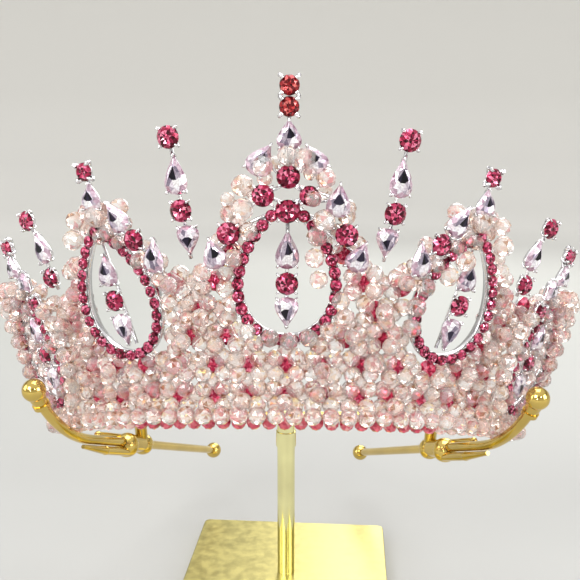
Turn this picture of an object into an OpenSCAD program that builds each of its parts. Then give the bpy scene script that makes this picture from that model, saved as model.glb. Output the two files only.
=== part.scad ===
// Bridal crown of wired crystal beads, held tilted back on a small display stand.
// The stand's plate lies on z = 0 with its post on the z axis. x runs to the right,
// y to the back, and the crown's front faces -y. All sizes are in millimetres.

/* [Crown plan] */
// Radius of the band's front arc, at the outer bottom edge
front_r = 85; // [82:1:88]
// Angle from the front at which the side arcs begin
front_angle = 40; // [38:1:42]
// Radius of the band's two side arcs
side_r = 42; // [40:1:44]
// Angle from the front at which the band ends
end_angle = 100; // [94:1:104]
// Outward lean of the wall
flare = 25; // [24:0.5:26]

/* [Beaded wall] */
// Thickness of the beaded wall
wall_t = 4.4; // [4:0.2:4.6]
// Diameter of the beads along the bottom edge
edge_bead_d = 3.9; // [3.6:0.1:3.9]
// Distance between those beads along the edge
edge_pitch = 4.05; // [4:0.05:4.2]

/* [Stones] */
// Diameter of a round stone
round_d = 5.6; // [5.2:0.1:5.8]
// Diameter of the two small round stones at the top
small_round_d = 4.7; // [4.4:0.1:4.8]
// Width of a pear stone
pear_w = 5.9; // [5.5:0.1:6]
// Width of the paved window frames
ring_w = 3.1; // [2.8:0.1:3.2]

/* [Stand] */
// Side of the square foot plate
plate_side = 68; // [66:1:80]
// Thickness of the foot plate
plate_t = 5; // [4:0.5:6]
// Diameter of the post
post_d = 5.8; // [5.4:0.2:6]
// Diameter of the cradle arms
arm_d = 3; // [2.8:0.1:3]
// Diameter of the balls on the arms' ends
ball_d = 6.2; // [6:0.2:6.6]

/* [Hidden] */
$fn = 48;
degrees = 180 / PI;
gap = 0.15;
seat_gap = 0.05;

// Where the crown sits: its bottom front edge, its tilt to the back and its slight roll
seat_y = -55;
seat_z = 77.65;
tilt = 24.7;
roll = 0.9;

// Centre of the side arcs, and the lengths along the bottom edge
side_x = (front_r - side_r) * sin(front_angle);
side_y = front_r - (front_r - side_r) * cos(front_angle);
front_len = front_r * front_angle / degrees;
end_s = front_len + side_r * (end_angle - front_angle) / degrees;
edge_drop = 0.65;
thread_in = 1.2;
wall_bottom = edge_bead_d + 0.25 - edge_drop;
wall_high = 76;

// The wall's three kinds of section meet below the spikes
centre_seam = 20;
mid_end = 58.2;
side_seam = front_len;

// Panels: middle of the window along the edge, its lowest and highest point up the wall,
// half its inner width, its lean to the outside, how far its frame reaches past its point, and
// the height where the wires above it fork, with an opening in the wall below the fork
CENTRE = [0, 25.5, 56, 10.35, 0, 2.2, 62.3];
MID = [37.8, 22.2, 51, 9.2, 8.5, 4.9, 0];
SIDE = [68.8, 10.5, 38.5, 8.6, 2, 4.9, 0];
eye_d = 4.6;
window_round = 0.54;
pear_round = 1.6;

// Tops of the wall: distance along the edge and height up the wall
CENTRE_TOP = [[20.5, 43], [16, 46], [13.6, 51], [12.2, 57], [9.5, 64], [6, 69], [2.4, 72]];
MID_TOP = [[19, 43], [25, 43.5], [29.3, 51], [32.3, 58], [36, 62.5], [41.5, 60.5],
           [45.5, 55.5], [49.5, 47.5], [52.5, 41], [60, 38.6]];
SIDE_TOP = [[58, 38.8], [60, 40.4], [64, 44], [68.8, 46], [73, 47], [76, 46.4], [80, 42], [90, 36],
            [98, 32], [end_s + 2, 28]];

// Stones in the windows, each on the panel's wire: kind, s and h of the base, s and h of the tip.
// A round stone has its centre in the first two and its diameter in the third.
CENTRE_DROP = [["pear", 0, 41.4, 0, 51.2], ["round", 0, 37.8, round_d], ["pear", 0, 34.5, 0, 26.6]];
MID_DROP = [["pear", 39.6, 38.9, 39.3, 47.6], ["round", 39.2, 35.1, round_d],
            ["pear", 38.7, 31.6, 37.6, 23.1]];
SIDE_DROP = [["pear", 68.9, 26.8, 69.1, 35], ["round", 68.7, 23.2, round_d],
             ["pear", 68.4, 19.9, 68.1, 11.6]];

// Free spikes: s and h of the foot, then their stones from the bottom up
SPIKE_1 = [[20, 44.1], ["pear", 19.9, 52.5, 19.8, 44.9], ["round", 20.8, 56.1, round_d],
           ["pear", 21.2, 60, 20.9, 70], ["round", 21.6, 73.9, round_d]];
SPIKE_2 = [[56.8, 40.1], ["round", 57.6, 43.6, round_d], ["pear", 57.2, 47.6, 57.9, 56.6],
           ["round", 59.8, 60.1, round_d]];

// Stones set in cups on the panels: node name, then as above
CENTRE_STONES = [["crest_stone_top", "round", 0, 84.5, small_round_d],
                 ["crest_stone_under", "round", 0, 79.7, small_round_d],
                 ["crest_pear", "pear", 0.1, 69.8, 0, 77.2],
                 ["crest_pear_left", "pear", -6.6, 64.4, -2.9, 71.4],
                 ["crest_pear_right", "pear", 5.8, 64.9, 2.9, 71.4],
                 ["crest_stone_upper", "round", 0, 63.7, round_d],
                 ["crest_stone_left", "round", -4.6, 59.3, 5.4],
                 ["crest_stone_right", "round", 3.9, 59.4, 4.8],
                 ["crest_pear_outer", "pear", 9.2, 54.6, 9.4, 62.9],
                 ["crest_stone_lower", "round", 0, 55.6, round_d],
                 ["shoulder_stone_left", "round", -11.3, 50.5, round_d],
                 ["shoulder_stone_right", "round", 11.3, 50.5, round_d],
                 ["shoulder_pear_left", "pear", -13.6, 42.2, -15.2, 49.8],
                 ["shoulder_pear_right", "pear", 13, 42, 15.3, 49.4]];
MID_STONES = [["mid_stone_top", "round", 38.6, 68.4, small_round_d],
              ["mid_pear", "pear", 38.7, 58.6, 38, 65.8],
              ["mid_pear_tilted", "pear", 32, 52.7, 35, 60.5],
              ["mid_stone_lower", "round", 30.3, 50.2, round_d],
              ["mid_pear_inner", "pear", 26.8, 41.8, 25.6, 50.6]];
SIDE_STONES = [["side_stone_top", "round", 65.3, 54.9, small_round_d],
               ["side_pear", "pear", 66.4, 46.2, 65.5, 52.5],
               ["side_pear_lower", "pear", 64, 46.2, 61.3, 41.3],
               ["side_stone_lower", "round", 61, 38, small_round_d]];

// Cup floors stand just proud of the wall, and the stones sit in them
cup_out = 0.2;
cup_t = 0.9;
cup_rim = -0.3;
stone_t = 2.6;
wire_w = 1.3;

// Stand: post, head, cross bar and the cradle arms in the crown's own frame
post_top = 50.6;
collar_d = 6.6;
collar_t = 5;
head_d = 6.4;
bar_z = 60.5;
bar_d = 3.2;
bar_half = 51;
plate_yaw = -4.4;
arm_tip = [65, 2];
arm_back = [30.3, 128.7];
arm_under = 1.9;
arm_bend = 30;
arm_rise = 11.2;
arm_run = norm(arm_back - arm_tip);
arm_turn = atan2(arm_tip.x - arm_back.x, arm_back.y - arm_tip.y);
arm_bend_r = (arm_bend * arm_bend + arm_rise * arm_rise) / (2 * arm_rise);
arm_bend_angle = asin(arm_bend / arm_bend_r);
knuckle_d = 7;
knuckle_u = [53.9, 65.3];
boss_x = 47.8;

sides = [-1, 1];
function side_name(side) = side < 0 ? "left" : "right";
function sided(name, side) = str(name, "_", side_name(side));
function both(names) = [for (n = names, s = sides) sided(n, s)];

// Angle, from the front, at a distance s along the bottom edge
function heading(s) = sign(s) * (abs(s) <= front_len ? abs(s) / front_r * degrees
    : front_angle + (abs(s) - front_len) / side_r * degrees);
function edge(s) = let (a = abs(heading(s)))
    a <= front_angle ? [sign(s) * front_r * sin(a), front_r * (1 - cos(a))]
    : [sign(s) * (side_x + side_r * sin(a)), side_y - side_r * cos(a)];

// A point at height h up the leaning wall
function wall_point(s, h) = let (p = edge(s), a = heading(s), lean = sin(flare) * h)
    [p.x + sin(a) * lean, p.y - cos(a) * lean, cos(flare) * h];

// The same point as seen square on from the panel at s0: right and up
function on_panel(s0, s, h) = let (d = wall_point(s, h) - wall_point(s0, 0), a = heading(s0))
    [d.x * cos(a) + d.y * sin(a), (d.x * sin(a) - d.y * cos(a)) * sin(flare) + d.z * cos(flare)];

// Teardrop outline: half width w, from z0 at the round end to z1 at the point
function drop_peak(m) = max([for (t = [0:2:178]) sin(t) * pow(cos(t / 2), m)]);
function drop_outline(w, z0, z1, m, n = 36) = let (k = w / drop_peak(m))
    [for (i = [0:n - 1]) let (t = 360 * i / n)
        [k * sin(t) * pow(abs(cos(t / 2)), m), (z0 + z1) / 2 - (z1 - z0) / 2 * cos(t)]];

module on_side(side) {
    if (side > 0) children();
    else mirror([1, 0, 0]) children();
}

module crown_seat(side = 1) {
    translate([0, seat_y, seat_z]) rotate([-tilt, 0, 0]) rotate([0, roll, 0])
        on_side(side) children();
}

module panel(s0, side = 1) {
    crown_seat(side) translate([edge(s0).x, edge(s0).y, 0]) rotate([0, 0, heading(s0)])
        rotate([flare, 0, 0]) children();
}

// Stands a flat outline up in a panel, from out0 to out1 in front of the wall's face
module slab(out0, out1) {
    translate([0, -out0, 0]) rotate([90, 0, 0]) linear_extrude(out1 - out0) children();
}

module strip(p, q, w) {
    translate(p) rotate(atan2(q.y - p.y, q.x - p.x)) translate([0, -w / 2]) square([norm(q - p), w]);
}

// Pear outline from its round base to its tip, grown all round by extra
module pear_outline(base, tip, extra = 0) {
    long = norm(tip - base);
    points = drop_outline(pear_w / 2 + extra, -extra, long + 1.6 * extra, pear_round, 28);
    translate(base) rotate(atan2(tip.y - base.y, tip.x - base.x) - 90)
        polygon([for (i = [0:27]) if (abs(i - 14) != 1) points[i]]);
}

module round_slab(p, d, out0, out1) {
    translate([p.x, -out0, p.y]) rotate([90, 0, 0]) cylinder(d = d, h = out1 - out0);
}

// One stone: kind, then its places along the edge and up the wall
module stone(s0, st, out) {
    girdle = out + stone_t * 0.6;
    if (st[0] == "round") {
        p = on_panel(s0, st[1], st[2]);
        round_slab(p, st[3], out, girdle);
        translate([p.x, -girdle, p.y]) rotate([90, 0, 0])
            cylinder(d1 = st[3], d2 = st[3] * 0.6, h = stone_t * 0.4);
    } else {
        base = on_panel(s0, st[1], st[2]);
        tip = on_panel(s0, st[3], st[4]);
        slab(out, girdle) pear_outline(base, tip);
        slab(girdle - 0.01, out + stone_t) pear_outline(base + (tip - base) * 0.15,
            tip - (tip - base) * 0.2, -0.9);
    }
}

// The metal cup behind a stone
module cup(s0, st, out0, out1) {
    if (st[0] == "round") round_slab(on_panel(s0, st[1], st[2]), st[3] + 2 * cup_rim, out0, out1);
    else slab(out0, out1)
        pear_outline(on_panel(s0, st[1], st[2]), on_panel(s0, st[3], st[4]), cup_rim);
}

function tail(v) = [for (i = [1:len(v) - 1]) v[i]];
function stone_top(s0, st) = st[0] == "round" ? on_panel(s0, st[1], st[2] + st[3] / 2)
    : st[2] > st[4] ? on_panel(s0, st[1], st[2]) : on_panel(s0, st[3], st[4]);
function stone_centre(s0, st) = st[0] == "round" ? on_panel(s0, st[1], st[2])
    : on_panel(s0, (st[1] + st[3]) / 2, (st[2] + st[4]) / 2);

// Section of the wall: outer face, then inner face
function wall_section(r, h0, h1) = [for (p = [[h0, 0], [h1, 0], [h1, -wall_t], [h0, -wall_t]])
    [r + p.x * sin(flare) + p.y * cos(flare), p.x * cos(flare) - p.y * sin(flare)]];

module wall_arc(centre, r, a0, a1) {
    translate([centre.x, centre.y, 0]) rotate([0, 0, a0 - 90]) rotate_extrude(angle = a1 - a0)
        polygon(wall_section(r, wall_bottom, wall_high));
}

module wall_sector(s0, s1) {
    a0 = heading(s0);
    a1 = heading(s1);
    if (a0 < front_angle) wall_arc([0, front_r], front_r, a0, min(a1, front_angle));
    if (a1 > front_angle) wall_arc([side_x, side_y], side_r, max(a0, front_angle), a1);
}

module window_outline(win, grow, point_grow) {
    mid = on_panel(win[0], win[0], (win[1] + win[2]) / 2);
    translate(mid) rotate(-win[4]) translate(-mid)
        polygon(drop_outline(win[3] + grow, win[1] - grow, win[2] + point_grow, window_round));
}

// A stretch of beaded wall with its top cut to an outline and its window cut out
module bead_wall(win, s0, s1, top, side) {
    tops = [for (p = top) on_panel(win[0], p[0], p[1])];
    ends = [tops[0], tops[len(tops) - 1]];
    color("mistyrose") difference() {
        intersection() {
            crown_seat(side) wall_sector(s0, s1);
            panel(win[0], side) slab(-30, 14)
                polygon(concat(tops, [[ends[1].x + 20, ends[1].y], [ends[1].x + 20, -40],
                    [ends[0].x - 20, -40], [ends[0].x - 20, ends[0].y]]));
        }
        panel(win[0], side) slab(-14, 8) window_outline(win, ring_w + gap, win[5] + gap);
        if (win[6] > 0) panel(win[0], side) round_slab([0, win[6] - 2.6], eye_d, -14, 8);
    }
}

module bead_wall_centre() {
    flipped = [for (i = [len(CENTRE_TOP) - 1:-1:0]) CENTRE_TOP[i]];
    left = [for (p = CENTRE_TOP) [-p[0], p[1]]];
    bead_wall(CENTRE, -centre_seam + gap, centre_seam - gap, concat(left, flipped), 1);
}

// Beads threaded along the bottom edge, with thread between each two and at the ends
module edge_beads() {
    count = floor((end_s - edge_bead_d / 2) / edge_pitch);
    up = edge_bead_d / 2 - edge_drop;
    inset = up * sin(flare) - wall_t / 2 * cos(flare);
    z = up * cos(flare) + wall_t / 2 * sin(flare);
    function bead(i) = let (a = heading(i * edge_pitch))
        edge(i * edge_pitch) + inset * [sin(a), -cos(a)];
    color("lightpink") crown_seat() {
        for (i = [-count:count]) translate([bead(i).x, bead(i).y, z])
            rotate([0, 90, heading(i * edge_pitch)]) sphere(d = edge_bead_d);
        for (i = [-count - 1:count]) thread_between(bead(i), bead(i + 1), z);
    }
}

module thread_between(p, q, z) {
    long = norm(q - p);
    translate([p.x, p.y, z]) rotate([0, 0, atan2(q.y - p.y, q.x - p.x)])
        translate([thread_in, 0, 0]) rotate([0, 90, 0])
            cylinder(r = 0.5, h = long - 2 * thread_in);
}

// Paved teardrop frame of a window, with the wire and cups of the stones above it
module frame(win, stones, side) {
    s0 = win[0];
    mid = on_panel(s0, s0, (win[1] + win[2]) / 2);
    apex = mid + (win[2] - win[1] + win[5]) / 2 * [sin(win[4]), cos(win[4])];
    color("silver") panel(s0, side) {
        slab(-3, 0.9) difference() {
            window_outline(win, ring_w, win[5]);
            window_outline(win, 0, 0);
        }
        for (st = stones) {
            spot = stone_centre(s0, tail(st));
            slab(cup_out, cup_out + cup_t) {
                if (win[6] == 0 || spot.y < win[6] - 1) strip(apex, spot, wire_w);
                if (win[6] > 0 && spot.y > apex.y + 1) strip([0, win[6]], spot, wire_w);
            }
            cup(s0, tail(st), cup_out, cup_out + cup_t);
        }
    }
}

module set_stone(win, st, side) {
    color(st[1] == "round" ? "crimson" : "thistle") panel(win[0], side)
        stone(win[0], tail(st), cup_out + cup_t + seat_gap);
}

// Stones wired one above another, as one piece
module wired_stones(s0, stones, foot, top, out, side) {
    color("thistle") panel(s0, side) {
        slab(out, out + 1) strip(foot, top, 1);
        for (st = stones) {
            cup(s0, st, out, out + 1);
            stone(s0, st, out + 0.99);
        }
    }
}

module drop_column(win, stones, side) {
    s0 = win[0];
    lean = win[4];
    reach = (win[2] - win[1]) / 2;
    mid = on_panel(s0, s0, (win[1] + win[2]) / 2);
    axis = [sin(lean), cos(lean)];
    wired_stones(s0, stones, stone_top(s0, stones[2]) - axis * 7.6,
        mid + axis * (reach - 1), -1.6, side);
}

module spike(s0, spike, side) {
    stones = tail(spike);
    foot = on_panel(s0, spike[0][0], spike[0][1]);
    wired_stones(s0, stones, foot, stone_top(s0, stones[len(stones) - 1]), -2.4, side);
}

module foot_plate() {
    corner = 2;
    inner = plate_side / 2 - corner;
    color("palegoldenrod") rotate([0, 0, plate_yaw]) {
        translate([-plate_side / 2, -inner, 0]) cube([plate_side, 2 * inner, plate_t]);
        translate([-inner, -plate_side / 2, 0]) cube([2 * inner, plate_side, plate_t]);
        for (x = sides, y = sides) translate([x * inner, y * inner, 0])
            cylinder(r = corner, h = plate_t);
    }
}

// Post with its collar, and the head that the cross bar passes through
module post() {
    color("gold") difference() {
        union() {
            translate([0, 0, plate_t + seat_gap])
                cylinder(d = post_d, h = bar_z - plate_t - seat_gap);
            translate([0, 0, post_top]) cylinder(d = collar_d, h = collar_t);
            translate([0, 0, bar_z]) sphere(d = head_d);
        }
        translate([-head_d, 0, bar_z]) rotate([0, 90, 0]) cylinder(d = bar_d + 0.1, h = 2 * head_d);
    }
}

module cross_bar() {
    color("gold") translate([-bar_half, 0, bar_z]) rotate([0, 90, 0]) {
        cylinder(d = bar_d, h = 2 * bar_half);
        for (end = [0, 1]) translate([0, 0, end * 2 * bar_half]) sphere(d = bar_d);
    }
}

// Frame of one arm: y runs from the front ball to the back ball, z = 0 is the rod's axis
module arm_frame(side) {
    crown_seat(side) translate([arm_tip.x, arm_tip.y, -arm_under]) rotate([0, 0, arm_turn])
        children();
}

module rod(u0, u1, r0, r1) {
    translate([0, u0, 0]) rotate([-90, 0, 0]) cylinder(r1 = r0, r2 = r1, h = u1 - u0);
}

// Cradle arm: straight under the crown's edge, then bent up in front of it
module arm(side) {
    r = arm_d / 2;
    neck = 4.6;
    color("gold") arm_frame(side) {
        rod(arm_bend - 0.3, arm_run, r - 0.03, r - 0.03);
        translate([0, arm_run, 0]) sphere(d = ball_d);
        translate([0, arm_bend, arm_bend_r]) rotate([90, 0, 90]) {
            rotate([0, 0, -90 - arm_bend_angle]) rotate_extrude(angle = arm_bend_angle)
                translate([arm_bend_r, 0]) circle(r = r);
            rotate([0, 0, -90 - arm_bend_angle]) translate([arm_bend_r, 0, 0]) {
                sphere(d = ball_d);
                rotate([-90, 0, 0]) cylinder(r1 = ball_d * 0.42, r2 = r + 0.4, h = neck);
                translate([0, neck, 0]) rotate([-90, 0, 0]) cylinder(r = r + 0.75, h = 1.2);
            }
        }
    }
}

// Double knuckle that holds an arm, with its boss on the cross bar, its brace below the arm
// and a short stub rod above it
module clamp(side) {
    brace = [-1, 38, -2.9];
    brace_r = 1.3;
    stub = [2.1, 38.5, 1.8];
    color("gold") difference() {
        union() {
            arm_frame(side) {
                translate([0, knuckle_u[0], -0.7]) sphere(d = knuckle_d + 0.8);
                translate([0, knuckle_u[1], 0]) sphere(d = knuckle_d);
                rod(knuckle_u[0], knuckle_u[1], 2.8, 2.8);
                translate(brace) {
                    sphere(r = brace_r + 0.08);
                    rotate([-90, 0, 0]) cylinder(r = brace_r, h = knuckle_u[0] - brace.y);
                    rotate([90 - 3, 0, 0]) cylinder(r1 = brace_r, r2 = 0.6, h = 13);
                }
                translate(stub) {
                    sphere(r = 1.08);
                    rotate([-90, 0, 0]) cylinder(r = 1, h = knuckle_u[0] - stub.y);
                }
            }
            translate([side * boss_x, 0, bar_z]) {
                sphere(d = 6.4);
                rotate([-164, 0, 0]) cylinder(r = 2, h = 11);
            }
        }
        translate([side * boss_x - 8, 0, bar_z]) rotate([0, 90, 0]) cylinder(d = bar_d + 0.2, h = 16);
        arm_frame(side) rod(20, 80, arm_d / 2 + 0.1, arm_d / 2 + 0.1);
    }
}

foot_plate();
post();
cross_bar();
edge_beads();
bead_wall_centre();
frame(CENTRE, CENTRE_STONES, 1);  // frame_centre
drop_column(CENTRE, CENTRE_DROP, 1);  // drop_centre
for (st = CENTRE_STONES) {
    set_stone(CENTRE, st, 1);
}
for (side = sides) {
    clamp(side);
    arm(side);
    bead_wall(MID, centre_seam + gap, mid_end, MID_TOP, side);
    bead_wall(SIDE, side_seam + gap, end_s, SIDE_TOP, side);
    frame(MID, MID_STONES, side);
    frame(SIDE, SIDE_STONES, side);
    drop_column(MID, MID_DROP, side);
    drop_column(SIDE, SIDE_DROP, side);
    spike(SPIKE_1[0][0], SPIKE_1, side);
    spike(SPIKE_2[0][0], SPIKE_2, side);
    for (st = MID_STONES) {
        set_stone(MID, st, side);
    }
    for (st = SIDE_STONES) {
        set_stone(SIDE, st, side);
    }
}
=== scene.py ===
# %% [markdown]
# # A bridal crown on its display stand
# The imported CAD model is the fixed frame: it says where every wall, frame, stone and rod is.
# This script only gives them their looks. It cuts the stones, strings the beads and plates the
# metal around that frame, then sets up a pale studio and the camera.

# %% Load the frame
import math
import random

import bmesh
import bpy
import numpy as np
from mathutils import Matrix, Vector


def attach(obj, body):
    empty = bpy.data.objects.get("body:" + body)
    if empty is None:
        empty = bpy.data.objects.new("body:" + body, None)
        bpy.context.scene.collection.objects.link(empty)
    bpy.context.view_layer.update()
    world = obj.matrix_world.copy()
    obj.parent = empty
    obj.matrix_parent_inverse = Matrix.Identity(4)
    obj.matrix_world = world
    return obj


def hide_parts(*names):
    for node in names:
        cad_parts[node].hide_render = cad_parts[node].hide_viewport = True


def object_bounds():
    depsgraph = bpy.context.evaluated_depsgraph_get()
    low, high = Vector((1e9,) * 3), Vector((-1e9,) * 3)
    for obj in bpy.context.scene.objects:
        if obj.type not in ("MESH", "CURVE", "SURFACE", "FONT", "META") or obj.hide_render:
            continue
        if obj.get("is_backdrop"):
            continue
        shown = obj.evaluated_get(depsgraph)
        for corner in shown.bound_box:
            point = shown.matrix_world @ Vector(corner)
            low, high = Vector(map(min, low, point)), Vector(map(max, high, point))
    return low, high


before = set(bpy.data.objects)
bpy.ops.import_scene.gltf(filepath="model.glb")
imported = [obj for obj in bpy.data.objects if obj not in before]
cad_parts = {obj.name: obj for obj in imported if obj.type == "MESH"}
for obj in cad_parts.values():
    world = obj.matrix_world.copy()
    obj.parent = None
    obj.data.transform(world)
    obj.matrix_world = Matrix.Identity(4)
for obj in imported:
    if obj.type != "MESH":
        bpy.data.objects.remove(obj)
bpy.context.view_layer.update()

# %% [markdown]
# ## The crown's own measures
# The crown is a leaning wall of three arcs that sits tilted back on its stand. A place on it is
# given by a distance along the bottom edge and a height up the wall, as a jeweller would pin
# beads to a card and then bend the card. These few sizes repeat the ones of the CAD source, in
# millimetres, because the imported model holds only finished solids.

# %% Crown sizes
MM = 0.001
# Radius of the front and side arcs, and the wall's heading where each of them ends
FRONT_R, FRONT_ANGLE = 85.0, 40.0
SIDE_R, END_ANGLE = 42.0, 100.0
# The wall leans out; the whole crown leans back and rolls a little on its arms
FLARE, TILT, ROLL = 25.0, 24.7, 0.9
# The foremost point of the crown's bottom edge, in the stand's frame
SEAT = (0.0, -55.0, 77.65)
WALL_T = 4.4
RING_W = 3.1
PEAR_W, PEAR_ROUND, WINDOW_ROUND = 5.9, 1.6, 0.54
ROUND_D, SMALL_D, STONE_T = 5.6, 4.7, 2.6
# Where the centre wall meets the middle ones, along the edge
CENTRE_SEAM = 20.0
FRONT_LEN = FRONT_R * math.radians(FRONT_ANGLE)
END_S = FRONT_LEN + SIDE_R * math.radians(END_ANGLE - FRONT_ANGLE)
SIDE_X = (FRONT_R - SIDE_R) * math.sin(math.radians(FRONT_ANGLE))
SIDE_Y = FRONT_R - (FRONT_R - SIDE_R) * math.cos(math.radians(FRONT_ANGLE))
SIDES = (("left", -1), ("right", 1))


def turn(axis, degrees):
    return Matrix.Rotation(math.radians(degrees), 4, axis)


def heading(s):
    a = abs(s)
    bend = a / FRONT_R if a <= FRONT_LEN else math.radians(FRONT_ANGLE) + (a - FRONT_LEN) / SIDE_R
    return math.copysign(math.degrees(bend), s)


def edge(s):
    a = math.radians(abs(heading(s)))
    if abs(s) <= FRONT_LEN:
        return math.copysign(FRONT_R * math.sin(a), s), FRONT_R * (1 - math.cos(a))
    return math.copysign(SIDE_X + SIDE_R * math.sin(a), s), SIDE_Y - SIDE_R * math.cos(a)


CROWN = Matrix.Translation(SEAT) @ turn("X", -TILT) @ turn("Y", ROLL)


def panel(s, side=1):
    """Upright card that touches the wall at s: x right, -y out of the wall, z up the wall."""
    flip = Matrix.Scale(side, 4, (1, 0, 0))
    x, y = edge(s)
    return CROWN @ flip @ Matrix.Translation((x, y, 0)) @ turn("Z", heading(s)) @ turn("X", FLARE)


def card_at(s):
    """The card at s on its own half of the crown; the left half mirrors the right one."""
    return panel(abs(s), 1 if s >= 0 else -1)


def put(card, right, out, up):
    return card @ Matrix.Translation((right, -out, up))


def on_panel(s0, s, h):
    """Where the wall's point s, h falls on the card at s0: right and up, in millimetres."""
    here = panel(s0).inverted() @ (panel(s) @ Vector((0, 0, h)))
    return Vector((here.x, here.z))


print("crown edge runs", round(2 * END_S), "mm along its bottom")

# %% [markdown]
# ## Windows and the outline of the beaded wall
# Each panel is built round a tear-shaped window. One formula draws the tear for the windows, their
# frames and the pear stones alike, so a wider copy of it is also the guard that keeps beads out.

# %% Panels and outlines
# A window's own places, its half width, its lean and how far its frame reaches past its point
CENTRE = dict(s=0, low=25.5, high=56, half=10.35, lean=0, point=2.2)
MID = dict(s=37.8, low=22.2, high=51, half=9.2, lean=8.5, point=4.9)
SIDE = dict(s=68.8, low=10.5, high=38.5, half=8.6, lean=2, point=4.9)
# The crest's wires fork at this height above the centre window
FORK_H = 62.3
# The walls' top outlines: along the edge, up the wall
CENTRE_TOP = [(0, 72), (2.4, 72), (6, 69), (9.5, 64), (12.2, 57), (13.6, 51), (16, 46), (20.5, 43)]
MID_TOP = [(19, 43), (25, 43.5), (29.3, 51), (32.3, 58), (36, 62.5), (41.5, 60.5),
           (45.5, 55.5), (49.5, 47.5), (52.5, 41), (60, 38.6)]
SIDE_TOP = [(58, 38.8), (60, 40.4), (64, 44), (68.8, 46), (73, 47), (76, 46.4), (80, 42), (90, 36),
            (98, 32), (END_S + 2, 28)]


def tear_peak(m):
    return max(math.sin(t) * math.cos(t / 2) ** m for t in np.radians(np.arange(0, 179, 2)))


def tear(half, low, high, m, count, start=0.0):
    """Tear outline as points across and up, round end at low, point at high."""
    k = half / tear_peak(m)
    turns = [2 * math.pi * (i + start) / count for i in range(count)]
    return [(k * math.sin(t) * abs(math.cos(t / 2)) ** m,
             (low + high) / 2 - (high - low) / 2 * math.cos(t)) for t in turns]


def middle(win):
    return on_panel(win["s"], win["s"], (win["low"] + win["high"]) / 2)


def window(win, grow, count, start=0.0):
    """Window outline on its panel's card, grown all round."""
    point_grow = grow * win["point"] / RING_W
    mid = middle(win)
    spin = Matrix.Rotation(math.radians(-win["lean"]), 2)
    flat = tear(win["half"] + grow, win["low"] - grow, win["high"] + point_grow,
                WINDOW_ROUND, count, start)
    return [mid + spin @ (Vector(p) - mid) for p in flat]


def on_axis(win, up):
    """The point on a window's leaning axis, up millimetres above its middle."""
    lean = math.radians(win["lean"])
    return middle(win) + Vector((math.sin(lean), math.cos(lean))) * up


def clear_of_window(win, s, h, grow):
    """True where a bead of the wall may sit outside the window's grown outline."""
    mid = middle(win)
    spin = Matrix.Rotation(math.radians(win["lean"]), 2)
    x, z = mid + spin @ (on_panel(win["s"], s, h) - mid)
    low, high = win["low"] - grow, win["high"] + grow * win["point"] / RING_W
    if not low < z < high:
        return True
    t = math.acos(((low + high) / 2 - z) / ((high - low) / 2))
    k = (win["half"] + grow) / tear_peak(WINDOW_ROUND)
    return abs(x) > k * math.sin(t) * math.cos(t / 2) ** WINDOW_ROUND


def wall_top(s):
    a = abs(s)
    tops = CENTRE_TOP if a < CENTRE_SEAM else MID_TOP if a < FRONT_LEN else SIDE_TOP
    return float(np.interp(a, [p[0] for p in tops], [p[1] for p in tops]))


print("wall tops:", [(s, round(wall_top(s))) for s in (0, 20, 38, 60, 69, 100)])

# %% [markdown]
# ## A heap of small parts
# A crown is hundreds of small things. Making an object of each would be slow, so each kind is
# gathered as arrays of points and faces and becomes one mesh. A part that is set on the mirrored
# half has its faces turned round, so that they all still look outwards. Every face also keeps a
# tint, which the materials read as the light and dark of a cut stone: painted reflection and
# painted shade over the thing's own colour.

# %% The heap
def add_object(name, mesh, paint):
    mesh.materials.append(paint)
    piece = bpy.data.objects.new(name, mesh)
    bpy.context.scene.collection.objects.link(piece)
    return piece


class Heap:
    def __init__(self):
        self.points, self.faces, self.tints = [], [], []

    def add(self, points, faces, place, tints=None):
        """Adds a part given in millimetres, placed by a matrix in millimetres."""
        first = len(self.points)
        self.points += [place @ Vector(p) for p in points]
        inside_out = place.determinant() < 0
        for f in faces:
            f = f[::-1] if inside_out else f
            self.faces.append([first + i for i in f])
        self.tints += tints if tints else [(1.0, 1.0, 1.0)] * len(faces)

    def build(self, name, paint, slot, smooth=False, instead_of=()):
        mesh = bpy.data.meshes.new(name)
        mesh.from_pydata([p * MM for p in self.points], [], self.faces)
        layer = mesh.color_attributes.new("tint", "FLOAT_COLOR", "CORNER")
        counts = [len(f) for f in self.faces]
        colours = np.repeat(np.array(self.tints, dtype=np.float32), counts, axis=0)
        layer.data.foreach_set("color", np.c_[colours, np.ones(len(colours))].ravel())
        mesh.polygons.foreach_set("use_smooth", [smooth] * len(self.faces))
        mesh.update()
        piece = add_object(name, mesh, paint)
        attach(piece, "root")
        if instead_of:
            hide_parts(*instead_of)
        return piece


# %% [markdown]
# ## Colours and nodes
# Colours are picked as the eye names them, in sRGB hex, and one function turns them to the
# linear values that light is added up in. One more function adds a shader node with its settings
# and its links, so that each material below reads like a short recipe.

# %% Colour and node helpers
def linear(code):
    parts = [int(code[i:i + 2], 16) / 255 for i in (1, 3, 5)]
    return tuple(c / 12.92 if c <= 0.04045 else ((c + 0.055) / 1.055) ** 2.4 for c in parts)


def node(tree, kind, values=None, links=None, stops=(), **settings):
    """Adds a node. stops are a colour ramp's, as places and hex colours, in rising order."""
    made = tree.nodes.new(kind)
    for key, value in settings.items():
        setattr(made, key, value)
    for key, value in (values or {}).items():
        made.inputs[key].default_value = value
    for key, source in (links or {}).items():
        tree.links.new(source, made.inputs[key])
    for i, (place, code) in enumerate(stops):
        spots = made.color_ramp.elements
        spot = spots[i] if i < 2 else spots.new(place)
        spot.position, spot.color = place, linear(code) + (1,)
    return made


def material(name, values):
    made = bpy.data.materials.new(name)
    made.use_nodes = True
    tree = made.node_tree
    shader = tree.nodes["Principled BSDF"]
    for key, value in values.items():
        shader.inputs[key].default_value = value
    made.diffuse_color = tuple(shader.inputs["Base Color"].default_value)
    return made, tree, shader


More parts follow.
